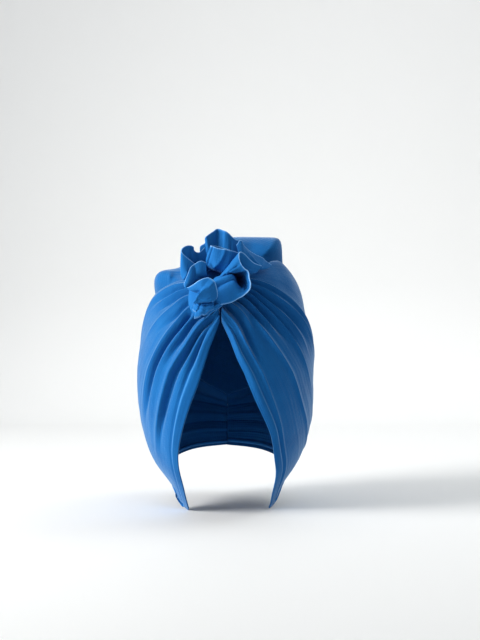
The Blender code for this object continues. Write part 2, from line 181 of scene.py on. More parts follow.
def turn_between(start, end, share):
    """Unit vector a share of the way along the great circle from start to end."""
    angle = np.arccos(np.clip(np.sum(start * end, axis=-1), -1.0, 1.0))
    angle = np.maximum(angle, 1e-6)
    mixed = (start * np.sin((1.0 - share) * angle)[..., None]
             + end * np.sin(share * angle)[..., None])
    return mixed / np.linalg.norm(mixed, axis=-1, keepdims=True)


# side (-1 left, 1 right), height, reach in height, and how far the cloth draws in there, in mm
SIDE_DRAWS = ((0, -0.74, 0.12, 6.2), (-1, 0.25, 0.32, 2.2), (-1, -0.74, 0.14, 3.4), (1, 0.05, 0.30, 3.2),
              (1, -0.86, 0.07, -5.0))


def on_head(aim, lift=0.0):
    """The egg's three half axes, grown by the lift, times the direction; the sides draw in a little."""
    flat = np.square(aim[..., 0]) / np.maximum(1.0 - np.square(aim[..., 2]), 1e-6)
    drawn = np.zeros_like(flat)
    for side, height, reach, amount in SIDE_DRAWS:
        here = 1.0 if side == 0 else (aim[..., 0] * side > 0.0)
        drawn += amount * MM * flat * here * np.exp(-np.square((aim[..., 2] - height) / reach))
    reach = np.stack([
        HEAD_HALF_WIDTH + lift - drawn,
        np.where(aim[..., 1] < 0.0, HEAD_FRONT, HEAD_BACK) + lift,
        np.where(aim[..., 2] > 0.0, HEAD_TOP, HEAD_BOTTOM) + lift,
    ], axis=-1)
    return reach * aim - np.array([0.0, 0.0, HEAD_TOP])


def wander(u, v, seed, waves=9, slowest=1.0, fastest=3.0):
    """A smooth uneven field from about -1 to 1: the sum of sine waves in seeded directions."""
    dice = np.random.RandomState(seed)
    heading = dice.uniform(0.0, 2.0 * np.pi, waves)
    pace = dice.uniform(slowest, fastest, waves) * 2.0 * np.pi
    start = dice.uniform(0.0, 2.0 * np.pi, waves)
    total = np.zeros_like(u)
    for turn, speed, offset in zip(heading, pace, start):
        total += np.sin(speed * (np.cos(turn) * u + np.sin(turn) * v) + offset)
    return total / np.sqrt(waves * 2.0)


# %% [markdown]
# ## The jersey
#
# Knitted cotton is matt, with a soft bloom where it turns away and rows of tiny loops. The loops are finer
# than the camera sees, but they break up the light. Two further things come from what the pieces carry:
# `edge`, an attribute that paints a highlight along a cut or folded edge, and the cloth's own UV map in
# metres, which the loops and the long drag lines follow.

# %% Jersey material
def linked(tree, kind, **values):
    """Add a node and set its named inputs."""
    node = tree.nodes.new(kind)
    for name, value in values.items():
        node.inputs[name.replace("_", " ")].default_value = value
    return node


def math_node(tree, operation, first, second):
    """One sum of two values, each a socket or a number."""
    node = tree.nodes.new("ShaderNodeMath")
    node.operation = operation
    for socket, value in zip(node.inputs, (first, second)):
        if isinstance(value, (int, float)):
            socket.default_value = value
        else:
            tree.links.new(value, socket)
    return node.outputs[0]


def mix_colours(tree, share, low, high):
    """A colour between two, each a socket or a triple."""
    node = tree.nodes.new("ShaderNodeMix")
    node.data_type = "RGBA"
    tree.links.new(share, node.inputs[0])
    for socket, value in ((node.inputs[6], low), (node.inputs[7], high)):
        if isinstance(value, tuple):
            socket.default_value = (*value, 1.0)
        else:
            tree.links.new(value, socket)
    return node.outputs[2]


def jersey(name, deep, fresh, edge_highlight_colour, loops, drags, bloom):
    """Knitted cotton: two blues mixed by a slow mottle, a painted highlight along the edges, loops and drag
    lines as bumps.
    """
    paint = bpy.data.materials.new(name)
    paint.use_nodes = True
    tree = paint.node_tree
    shader = tree.nodes["Principled BSDF"]
    place = tree.nodes.new("ShaderNodeTexCoord")
    uv = tree.nodes.new("ShaderNodeUVMap")
    uv.uv_map = "cloth"
    mottle = linked(tree, "ShaderNodeTexNoise", Scale=38.0, Detail=5.0, Roughness=0.62)
    tree.links.new(place.outputs["Object"], mottle.inputs["Vector"])
    body = mix_colours(tree, mottle.outputs["Fac"], deep, fresh)
    # The edge attribute mixes in a lighter blue: a painted highlight along cut and folded edges.
    rim = tree.nodes.new("ShaderNodeAttribute")
    rim.attribute_name = "edge"
    coloured = mix_colours(tree, rim.outputs["Fac"], body, edge_highlight_colour)
    tree.links.new(coloured, shader.inputs["Base Color"])
    shader.inputs["Roughness"].default_value = 0.62
    shader.inputs["Specular IOR Level"].default_value = 0.06
    shader.inputs["Specular Tint"].default_value = (0.70, 0.90, 1.0, 1.0)
    shader.inputs["Sheen Weight"].default_value = bloom
    shader.inputs["Sheen Roughness"].default_value = 0.40
    shader.inputs["Sheen Tint"].default_value = (0.66, 0.82, 1.0, 1.0)
    rows = []
    for direction_name, per_metre in (("X", 950.0), ("Y", 1250.0)):
        wave = linked(tree, "ShaderNodeTexWave", Scale=per_metre / 20.0 * np.pi, Distortion=0.6,
                      Detail=1.0)
        wave.bands_direction = direction_name
        tree.links.new(uv.outputs["UV"], wave.inputs["Vector"])
        rows.append(wave.outputs["Fac"])
    knit = math_node(tree, "MULTIPLY", rows[0], rows[1])
    stretch = tree.nodes.new("ShaderNodeMapping")
    stretch.inputs["Scale"].default_value = (9.0, 95.0, 1.0)
    tree.links.new(uv.outputs["UV"], stretch.inputs["Vector"])
    drag = linked(tree, "ShaderNodeTexNoise", Scale=1.0, Detail=3.0, Roughness=0.55)
    tree.links.new(stretch.outputs["Vector"], drag.inputs["Vector"])
    fine = tree.nodes.new("ShaderNodeBump")
    fine.inputs["Strength"].default_value = loops
    fine.inputs["Distance"].default_value = 0.00025
    tree.links.new(knit, fine.inputs["Height"])
    long = tree.nodes.new("ShaderNodeBump")
    long.inputs["Strength"].default_value = drags
    long.inputs["Distance"].default_value = 0.0022
    tree.links.new(drag.outputs["Fac"], long.inputs["Height"])
    tree.links.new(fine.outputs["Normal"], long.inputs["Normal"])
    crumple = linked(tree, "ShaderNodeTexNoise", Scale=150.0, Detail=4.0, Roughness=0.60)
    tree.links.new(place.outputs["Object"], crumple.inputs["Vector"])
    small = tree.nodes.new("ShaderNodeBump")
    small.inputs["Strength"].default_value = 0.35
    small.inputs["Distance"].default_value = 0.0010
    tree.links.new(crumple.outputs["Fac"], small.inputs["Height"])
    tree.links.new(long.outputs["Normal"], small.inputs["Normal"])
    tree.links.new(small.outputs["Normal"], shader.inputs["Normal"])
    return paint


# The third colour of each material is the painted highlight along edges.
JERSEY = jersey("cotton_jersey", (0.008, 0.094, 0.280), (0.015, 0.148, 0.378), (0.08, 0.30, 0.62),
                0.45, 0.45, 0.52)
# The rosette and its gathered base are the same cotton jersey; this copy is painted lighter in colour to
# stand in for the light on the front-facing ruffles.
RUFFLE_JERSEY_PAINTED_LIGHTER = jersey("ruffle_jersey", (0.014, 0.130, 0.365), (0.026, 0.176, 0.445),
                       (0.26, 0.50, 0.84), 0.35, 0.25, 0.08)
print("materials:", JERSEY.name, RUFFLE_JERSEY_PAINTED_LIGHTER.name)


# %% Turning a grid into a cloth piece
LEAF_SIZE = (0.03, 0.02)        # a leaf's UV size in metres


def cloth_piece(name, points, size, paint, wall, side, edge=None, tip=None, closed=False,
                turned=False, leaves=()):
    """A grid of points becomes a walled mesh with a UV map in metres and an edge attribute that paints a
    highlight.

    side is -1 where the points are the outer face, 0 where they are the middle of the cloth. edge gives each
    point's share of the painted edge highlight. closed joins the last row to the first, and tip is a point
    that closes the first column to a pole. leaves are further small grids of the same piece, each with its
    shares of the painted edge highlight.
    """
    rows, columns = points.shape[:2]
    index = np.arange(rows * columns).reshape(rows, columns)
    u, v = np.meshgrid(np.linspace(0.0, size[0], rows), np.linspace(0.0, size[1], columns),
                       indexing="ij")
    if closed:
        index = np.concatenate([index, index[:1]])
        u = np.linspace(0.0, size[0], rows + 1)[:, None] + 0.0 * np.zeros((1, columns))
        v = np.broadcast_to(np.linspace(0.0, size[1], columns), (rows + 1, columns))
    corners = [(slice(None, -1), slice(None, -1)), (slice(1, None), slice(None, -1)),
               (slice(1, None), slice(1, None)), (slice(None, -1), slice(1, None))]
    if turned:
        corners = corners[::-1]
    quads = np.stack([index[c] for c in corners], axis=-1).reshape(-1, 4)
    uv = np.stack([np.stack([u[c], v[c]], axis=-1) for c in corners], axis=-2).reshape(-1, 2)
    vertices = points.reshape(-1, 3)
    faces = quads.tolist()
    rim = np.zeros(rows * columns) if edge is None else edge.reshape(-1)
    if tip is not None:
        vertices = np.vstack([vertices, tip.reshape(1, 3)])
        rim = np.append(rim, 0.0)
        around = index[:, 0]
        last, now = (around[:-1], around[1:]) if turned else (around[1:], around[:-1])
        faces += np.stack([np.full(len(now), rows * columns), last, now], axis=-1).tolist()
        fan = np.stack([np.stack([u[1:, 0], 0.0 * v[1:, 0]], -1), np.stack([u[1:, 0], v[1:, 0]], -1),
                        np.stack([u[:-1, 0], v[:-1, 0]], -1)], axis=1)
        uv = np.vstack([uv, fan.reshape(-1, 2)])
    for leaf, leaf_highlight in leaves:
        index = np.arange(leaf[..., 0].size).reshape(leaf.shape[:2]) + len(vertices)
        faces += np.stack([index[c] for c in corners], axis=-1).reshape(-1, 4).tolist()
        u, v = np.meshgrid(LEAF_SIZE[0] * np.linspace(0, 1, leaf.shape[0]),
                           LEAF_SIZE[1] * np.linspace(0, 1, leaf.shape[1]), indexing="ij")
        uv = np.vstack([uv, np.stack([np.stack([u[c], v[c]], -1) for c in corners], -2).reshape(-1, 2)])
        vertices = np.vstack([vertices, leaf.reshape(-1, 3)])
        rim = np.append(rim, leaf_highlight.reshape(-1))
    mesh = bpy.data.meshes.new(name + "_cloth")
    mesh.from_pydata(vertices.tolist(), [], faces)
    mesh.uv_layers.new(name="cloth").data.foreach_set("uv", uv.astype(np.float32).ravel())
    # The edge attribute holds each point's share of the painted edge highlight.
    mesh.attributes.new("edge", "FLOAT", "POINT").data.foreach_set("value", rim.astype(np.float32))
    mesh.materials.append(paint)
    mesh.shade_smooth()
    piece = bpy.data.objects.new(name + "_cloth", mesh)
    bpy.context.collection.objects.link(piece)
    shell = piece.modifiers.new("wall", "SOLIDIFY")
    shell.thickness = wall
    shell.offset = side
    shell.use_even_offset = False
    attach(piece, "root")
    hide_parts(name)
    print(name, "made of", len(faces), "faces,", len(vertices), "points")
    return piece


def grid(along, across):
    """Shares 0 to 1 both ways over a grid."""
    return np.meshgrid(np.linspace(0.0, 1.0, along + 1), np.linspace(0.0, 1.0, across + 1),
                       indexing="ij")


# %% [markdown]
# ## The two front panels
#
# Each panel fans out from the knot: narrow and deeply pleated there, broad and nearly smooth at the side,
# and running on round the back of the neck. A table of sections says where its hem and its top fold lie. A
# second table follows each fold along the panel: real pleats drift and merge, so a fold's place changes on
# its way, and a valley is as much a fold as a ridge.

# %% Panel sections
# hem azimuth, hem height, top azimuth, top height, crowding
LEFT_SECTIONS = (
    (-3.2, 0.400, -5, 0.760, 0.60), (-8.5, 0.200, -40, 0.725, 0.66), (-14.5, -0.040, -55, 0.690, 0.72),
    (-24.0, -0.265, -71, 0.635, 0.82), (-34.0, -0.500, -87, 0.560, 0.95),
    (-41.5, -0.720, -102, 0.465, 1.00), (-57.0, -0.868, -117, 0.350, 1.00),
    (-85.0, -0.752, -133, 0.210, 1.00), (-114.0, -0.645, -150, 0.060, 1.00),
    (-147.0, -0.580, -166, -0.080, 1.00), (-180.0, -0.555, -180.0, -0.180, 1.00),
)
RIGHT_SECTIONS = (
    (-2.2, 0.400, -1, 0.760, 0.85), (2.9, 0.255, 25, 0.730, 0.87), (8.2, 0.075, 39, 0.690, 0.90),
    (18.0, -0.160, 54, 0.600, 0.94), (30.0, -0.370, 68, 0.460, 1.00), (40.5, -0.580, 81, 0.300, 1.00),
    (65.0, -0.864, 98, 0.180, 1.00), (88.0, -0.752, 118, 0.080, 1.00), (115.0, -0.645, 139, -0.010, 1.00),
    (147.0, -0.580, 161, -0.100, 1.00), (180.0, -0.555, 180.0, -0.180, 1.00),
)


def panel_aim(sections, along, across):
    """Direction on a panel: along from the knot to the back, across from the hem to the top fold."""
    row = through(sections, along)
    hem = direction(row[..., 0], row[..., 1])
    top = direction(row[..., 2], row[..., 3])
    return turn_between(hem, top, across ** row[..., 4])


# %% Folds of the panels
# starts at and ends at along the panel; place across at the start, a third, two thirds and the end; half
# width as a share across; height in mm, below 0 for a valley
LEFT_FOLDS = (
    (-0.04, 0.30, 0.040, 0.048, 0.060, 0.050, 0.020, -3.2),
    (-0.04, 0.34, 0.080, 0.092, 0.104, 0.110, 0.018, 1.3),
    (0.00, 0.49, 0.060, 0.124, 0.152, 0.180, 0.022, -7.4),
    (0.04, 0.54, 0.105, 0.170, 0.192, 0.225, 0.022, 2.6),
    (0.00, 0.32, 0.130, 0.205, 0.243, 0.250, 0.026, -5.0),
    (0.04, 0.50, 0.180, 0.285, 0.295, 0.300, 0.036, 1.8),
    (0.10, 0.50, 0.290, 0.340, 0.344, 0.360, 0.020, -6.4),
    (0.02, 0.52, 0.310, 0.388, 0.393, 0.400, 0.024, 2.6),
    (-0.02, 0.32, 0.380, 0.452, 0.480, 0.530, 0.036, -4.2),
    (0.00, 0.40, 0.450, 0.560, 0.600, 0.640, 0.026, 2.2),
    (0.00, 0.30, 0.520, 0.645, 0.690, 0.720, 0.030, -3.6),
    (0.00, 0.36, 0.600, 0.725, 0.770, 0.800, 0.028, 2.2),
    (0.02, 0.34, 0.690, 0.800, 0.830, 0.840, 0.028, -3.0),
    (0.02, 0.46, 0.760, 0.885, 0.882, 0.800, 0.040, 2.2),
    (0.58, 1.16, 0.280, 0.350, 0.420, 0.500, 0.040, 1.4),
    (0.58, 1.18, 0.380, 0.450, 0.520, 0.600, 0.034, -1.2),
    (0.56, 1.14, 0.560, 0.620, 0.680, 0.740, 0.040, 1.4),
    (0.58, 1.18, 0.650, 0.710, 0.770, 0.820, 0.032, -1.2),
    (0.50, 1.14, 0.120, 0.200, 0.280, 0.340, 0.036, -1.1),
)
RIGHT_FOLDS = (
    (-0.04, 0.66, 0.165, 0.160, 0.110, 0.110, 0.016, 2.0),
    (0.00, 0.30, 0.270, 0.245, 0.210, 0.155, 0.040, -4.2),
    (0.00, 0.22, 0.360, 0.345, 0.330, 0.320, 0.022, 2.2),
    (0.13, 0.66, 0.425, 0.400, 0.400, 0.460, 0.020, 2.6),
    (0.02, 0.26, 0.500, 0.478, 0.460, 0.450, 0.030, -4.4),
    (0.02, 0.32, 0.560, 0.530, 0.510, 0.500, 0.022, 2.6),
    (0.03, 0.36, 0.620, 0.588, 0.560, 0.552, 0.026, -4.4),
    (0.04, 0.58, 0.670, 0.625, 0.608, 0.612, 0.020, 3.2),
    (0.04, 0.44, 0.715, 0.668, 0.660, 0.680, 0.020, -3.6),
    (0.06, 0.50, 0.755, 0.722, 0.735, 0.750, 0.020, 2.8),
    (0.04, 0.48, 0.795, 0.780, 0.805, 0.805, 0.022, -3.6),
    (0.04, 0.60, 0.835, 0.840, 0.875, 0.862, 0.026, 2.8),
    (0.06, 0.50, 0.885, 0.895, 0.928, 0.925, 0.020, -3.0),
    (0.04, 0.56, 0.930, 0.950, 0.970, 0.968, 0.020, 2.0),
    (0.58, 1.16, 0.320, 0.380, 0.440, 0.500, 0.040, 1.4),
    (0.58, 1.18, 0.420, 0.480, 0.540, 0.600, 0.034, -1.2),
    (0.56, 1.14, 0.600, 0.650, 0.700, 0.760, 0.040, 1.4),
    (0.60, 1.18, 0.690, 0.740, 0.790, 0.840, 0.030, -1.2),
)
FULLNESS = 4.8 * MM             # how far the gathered cloth stands off the layer below at the knot
HEM_PROUD = 1.0 * MM            # how far the folded hem stands off the panel
HEM_GROOVE = -0.9 * MM          # the groove beside it
DEEPEST = -2.2 * MM             # no valley goes below this
RIDGE_POWER, VALLEY_POWER = 1.4, 1.7    # how pointed a ridge and a valley are
print("folds:", len(LEFT_FOLDS), "on the left,", len(RIGHT_FOLDS), "on the right")


def fold_height(folds, along, across):
    """Sum of bell-shaped ridges and valleys: each follows its own place and fades in and out."""
    total = np.zeros_like(along)
    for start, end, first, second, third, last, half_width, height in folds:
        share = (along - start) / (end - start)
        place = through([[first], [second], [third], [last]], share)[..., 0]
        away = np.abs(across - place) / half_width
        bell = np.exp(-away ** (RIDGE_POWER if height > 0.0 else VALLEY_POWER))
        fade = ease(share, 0.0, 0.12) * (1.0 - ease(share, 0.62, 1.0))
        total += height * MM * bell * fade
    return total


def panel_lift(folds, hem_width, along, across, seed):
    """Height off the head: layers below, fullness at the knot, folds, hem, top roll and small wrinkles."""
    layers = SEAT_LIFT + (CLOTH + LAYER_GAP) * (1.0 + ease(across, 0.72, 0.88)) + CLOTH
    full = FULLNESS * (1.0 - ease(along, 0.0, 0.75)) * (1.0 - 0.65 * ease(across, 0.3, 0.85))
    edges = ease(across, -0.02, 0.05) * (1.0 - 0.5 * ease(across, 0.96, 1.0))
    raised = full * edges + fold_height(folds, along, across)
    floor = DEEPEST * (1.0 - ease(across, 0.80, 0.92))
    raised = floor + 0.5 * (raised - floor + np.sqrt(np.square(raised - floor) + (0.5 * MM) ** 2))
    hem = HEM_PROUD * (1.0 - ease(across, 0.80 * hem_width, 1.05 * hem_width))
    groove = HEM_GROOVE * np.exp(-np.square((across - 1.12 * hem_width) / (0.22 * hem_width)))
    drag = 0.16 * MM * wander(1.3 * along, 14.0 * across, seed, 14, 0.6, 2.2)
    slack = 0.75 * MM * wander(1.2 * along, 1.6 * across, seed + 1, 10, 0.5, 1.5) * ease(along, 0.3, 0.7)
    return layers + raised + (hem + groove) * ease(along, 0.02, 0.14) + drag + slack + 0.3 * MM


# %% Make the panels
def make_panel(name, sections, folds, hem_width, size, seed, turned):
    """One front panel, with a painted highlight along its hem's fold."""
    along, across = grid(190, 220)
    points = on_head(panel_aim(sections, along, across), panel_lift(folds, hem_width, along, across, seed))
    # A painted highlight along the hem's fold, where it catches the light.
    hem_highlight = np.exp(-np.square((across - 0.9 * hem_width) / (0.10 * hem_width)))
    piece = cloth_piece(name, points, size, JERSEY, JERSEY_WALL, -1.0,
                        edge=0.45 * hem_highlight * ease(along, 0.02, 0.2), turned=turned)
    return piece, points


panel_left, left_points = make_panel("panel_left", LEFT_SECTIONS, LEFT_FOLDS, 0.050, (0.38, 0.12), 11, True)
panel_right, right_points = make_panel("panel_right", RIGHT_SECTIONS, RIGHT_FOLDS, 0.072, (0.35, 0.115), 23,
                                       False)

# %% [markdown]
# ## The band and the bag
#
# Above the right panel runs one smooth band. The bag under it covers the crown and the back of the head;
# its slack stands up in a boxy fold at the upper right and a small corner fold at the left. The bag is drawn
# snug on the head first, and points that fall inside a few soft boxes are then pushed out to their walls.

# %% The smooth band
BAND_BESIDE = (0.02, 0.88)      # where along the right panel it starts, and how far it runs
PANEL_TUCK = 0.90               # share across a panel at which the cloth behind it ends
# azimuth, height and lift (as a share of the head's height) of the band's upper edge
BAND_EDGE = (
    (14, 0.790, 0.040), (29, 0.815, 0.045), (48, 0.850, 0.050), (68, 0.858, 0.095), (88, 0.825, 0.122),
    (104, 0.730, 0.122), (122, 0.560, 0.085), (140, 0.310, 0.055), (158, 0.030, 0.040),
)


def band_points(along, across):
    """From under the right panel up to the band's own edge, lifting off the bag on the way."""
    beside = BAND_BESIDE[0] + BAND_BESIDE[1] * along
    low = panel_aim(RIGHT_SECTIONS, beside, np.full_like(along, PANEL_TUCK))
    edge = through(BAND_EDGE, along)
    base = SEAT_LIFT + CLOTH + LAYER_GAP
    rise = np.maximum(edge[..., 2] * HEAD_TOP - base, 0.0) * ease(across, 0.35, 1.0)
    soft = 0.5 * MM * wander(3.0 * along, 1.2 * across, 31) * ease(across, 0.2, 0.6)
    return on_head(turn_between(low, direction(edge[..., 0], edge[..., 1]), across),
                   base + rise + CLOTH + soft)


along, across = grid(120, 60)
band_right = cloth_piece("band_right", band_points(along, across), (0.20, 0.065), JERSEY,
                         JERSEY_WALL, -1.0)


# %% The slack bag
BAG_TOP = (180.0, 0.94)         # azimuth and height of the point that the bag's rings run round
DRAPE = 2.0 * MM                # how far the snug part of the bag waves in and out
SLACK_LEFT, SLACK_RIGHT = (0.72, 0.87), (0.38, 0.61)    # shares down the bag where its slack runs out
SLACK_CHANGE = (0.34, 0.48)     # shares round the bag between which the left goes over into the right
# middle as shares of the head's half width, front and top; half sizes as shares of them; squareness seen
# from the front, and from front to back; how many times further the slack runs out at the back
SLACK_BOXES = (
    (0.337, 0.270, 0.790, 0.330, 0.330, 0.400, 9.0, 2.3, 1.7),
    (-0.550, -0.080, 0.650, 0.315, 0.270, 0.228, 3.6, 2.3, 1.5),
    (0.000, 0.450, 0.420, 0.660, 0.620, 0.560, 2.4, 2.4, 1.0),
)


def crown_rim(turn):
    """The bag's rim: under the left panel on the way out, under the right panel on the way back."""
    left = panel_aim(LEFT_SECTIONS, np.clip(2.0 * turn, 0.0, 1.0), np.full_like(turn, PANEL_TUCK))
    right = panel_aim(RIGHT_SECTIONS, np.clip(2.0 - 2.0 * turn, 0.0, 1.0), np.full_like(turn, PANEL_TUCK))
    return np.where((turn < 0.5)[..., None], left, right)


def push_out(points, box):
    """Where a point lies inside a superellipsoid, slide it out to the wall from the box's middle."""
    size = np.array([HEAD_HALF_WIDTH, HEAD_FRONT, HEAD_TOP])
    middle = np.array(box[:3]) * size - np.array([0.0, 0.0, HEAD_TOP])
    line = points - middle
    reach = np.linalg.norm(line, axis=-1)
    aim = line / reach[..., None]
    shares = np.abs(aim / (np.array(box[3:6]) * size))
    shares[..., 1] = np.where(aim[..., 1] > 0.0, shares[..., 1] / box[8], shares[..., 1])
    face = (shares[..., 0] ** box[6] + shares[..., 2] ** box[6]) ** (box[7] / box[6])
    wall = (face + shares[..., 1] ** box[7]) ** (-1.0 / box[7])
    return middle + aim * ((reach ** 8 + wall ** 8) ** 0.125)[..., None]


# creases of the slack's front: across and up at the start, across and up at the end, half width, and how
# far it stands out, all in mm
BAG_CREASES = (
    (-52.5, -18.6, -55.4, -27.3, 2.6, 3.4), (-52.5, -18.6, -44.2, -22.7, 2.4, 2.6),
    (-44.2, -22.7, -37.6, -23.3, 2.4, 2.2), (-48.0, -16.0, -38.0, -17.5, 3.5, -1.6),
    (20.0, 14.0, 34.0, 12.0, 5.0, 1.2), (30.0, -2.0, 44.0, 2.0, 5.0, -1.2),
)
# the boxy fold's slanting edge: across and up of one point in mm, then the direction that leads below it
PUFF_EDGE = (27.2, -8.8, 0.764, -0.645)
PUFF_TURN, PUFF_LEAN = 0.80, 0.20       # how steeply the fold turns away below that edge and above it
CREASE_POWER = 1.3                      # how pointed a crease is


# %% Creases of the slack


def near_line(x, z, row):
    """Bell of the distance from a line between two points of the front."""
    start, end = np.array(row[:2]) * MM, np.array(row[2:4]) * MM
    along_line = end - start
    share = (x - start[0]) * along_line[0] + (z - start[1]) * along_line[1]
    share = np.clip(share / np.dot(along_line, along_line), 0.0, 1.0)
    away = np.hypot(x - start[0] - share * along_line[0], z - start[1] - share * along_line[1])
    return row[5] * MM * np.exp(-(away / (row[4] * MM)) ** CREASE_POWER)


def creased(points):
    """The front of the slack with its creases, turned away below and above the boxy fold's edge."""
    x, y, z = points[..., 0], points[..., 1], points[..., 2]
    front = ease(-y, -0.030, 0.005)
    out = sum(near_line(x, z, row) for row in BAG_CREASES)
    below = (x - PUFF_EDGE[0] * MM) * PUFF_EDGE[2] + (z - PUFF_EDGE[1] * MM) * PUFF_EDGE[3]
    on_puff = ease(x, 0.012, 0.026) * ease(z, -0.030, -0.018)
    soft = np.sqrt(np.square(below) + (1.2 * MM) ** 2)
    turned = 0.5 * (PUFF_TURN * (soft + below) + PUFF_LEAN * (soft - below)) * on_puff
    ripple = 1.0 * MM * wander(22.0 * x, 22.0 * z, 41, 12, 0.5, 1.6) * ease(z, -0.035, -0.010)
    return points - (front * (out - turned + ripple))[..., None] * np.array([0.0, 1.0, 0.0])


def crown_points(turn, down):
    """Snug on the head, then pushed out by the boxes, then back to snug where the slack runs out."""
    top = np.broadcast_to(direction(*BAG_TOP), (*np.shape(turn), 3))
    drape = DRAPE * wander(9.0 * turn, 0.8 * down, 43, 10, 0.4, 1.3)
    drape = drape * ease(down, 0.1, 0.45) * (1.0 - ease(down, 0.72, 0.92))
    snug = on_head(turn_between(top, crown_rim(turn), down), SEAT_LIFT + CLOTH + drape)
    slack = snug
    for box in SLACK_BOXES:
        slack = push_out(slack, box)
    on_left = 1.0 - ease(down, *SLACK_LEFT)
    on_right = 1.0 - ease(down, *SLACK_RIGHT)
    loose = on_left + (on_right - on_left) * ease(turn, *SLACK_CHANGE)
    return snug + (creased(slack) - snug) * loose[..., None]


# %% Make the bag
AROUND, RINGS = 300, 140
RING_CROWD = 0.35               # how much closer the rings lie midway down, where the folds are
turn, down = np.meshgrid(np.arange(AROUND) / AROUND, np.arange(1, RINGS + 1) / RINGS, indexing="ij")
bag = crown_points(turn, down + RING_CROWD * np.sin(2.0 * np.pi * down) / (2.0 * np.pi))
crown_bag = cloth_piece("crown_bag", bag, (0.40, 0.17), JERSEY, JERSEY_WALL, -1.0,
                        tip=crown_points(np.zeros(1), np.zeros(1)), closed=True)

# %% [markdown]
# ## The knot and the rosette
#
# Under the rosette the cloth is gathered over a small crumpled mound. The ruffles are strips sewn to it along
# one side. A ruffle is best drawn by its free edge, the line that the eye follows: each row of its table is a
# section from that edge, round the fold that the strip turns on, to the gathered root.

# %% The gathered base
MOUND_AZIMUTH, MOUND_HEIGHT = -8.0, 0.76
MOUND_TOP = 0.0150              # how far its middle stands off the head
PLEAT_CLEAR = 0.75 * 4.0 * MM   # what its rim clears of the pleats below
ROSETTE = np.array([-0.005, -0.078, -0.022])
# turn from the right in degrees, half width in degrees, height in mm
MOUND_FOLDS = ((206, 10, 1.2), (262, 12, 1.5), (286, 10, 1.5), (310, 14, 1.2))


def mound_frame():
    """Unit directions at the mound: its middle, to the right, and up."""
    middle = direction(MOUND_AZIMUTH, MOUND_HEIGHT)
    side = np.array([np.cos(np.radians(MOUND_AZIMUTH)), np.sin(np.radians(MOUND_AZIMUTH)), 0.0])
    return middle, side, np.cross(middle, side)


def mound_reach(turn):
    """Degrees from the mound's middle to its rim, further towards the crumpled cloth."""
    return 13.8 + 11.2 * np.clip(np.cos(turn - np.radians(249.0)), 0.0, 1.0) ** 6


def mound_lift(turn, out):
    """A low dome, with folds that begin half way out."""
    rim = SEAT_LIFT + 3.0 * (CLOTH + LAYER_GAP) + PLEAT_CLEAR
    lift = rim + (MOUND_TOP - rim) * (1.0 - out ** 2.2)
    for place, half_width, height in MOUND_FOLDS:
        ridge = np.clip(1.0 - np.abs(turn - np.radians(place)) / np.radians(half_width), 0.0, 1.0)
        lift = lift + height * MM * ridge * ease(out, 0.5, 1.0)
    return lift


def mound_points(turn, out):
    """A polar grid about the mound's middle."""
    middle, side, up = mound_frame()
    away = side * np.cos(turn)[..., None] + up * np.sin(turn)[..., None]
    angle = np.radians(mound_reach(turn) * out)
    aim = middle * np.cos(angle)[..., None] + away * np.sin(angle)[..., None]
    return on_head(aim, mound_lift(turn, out) + CLOTH)


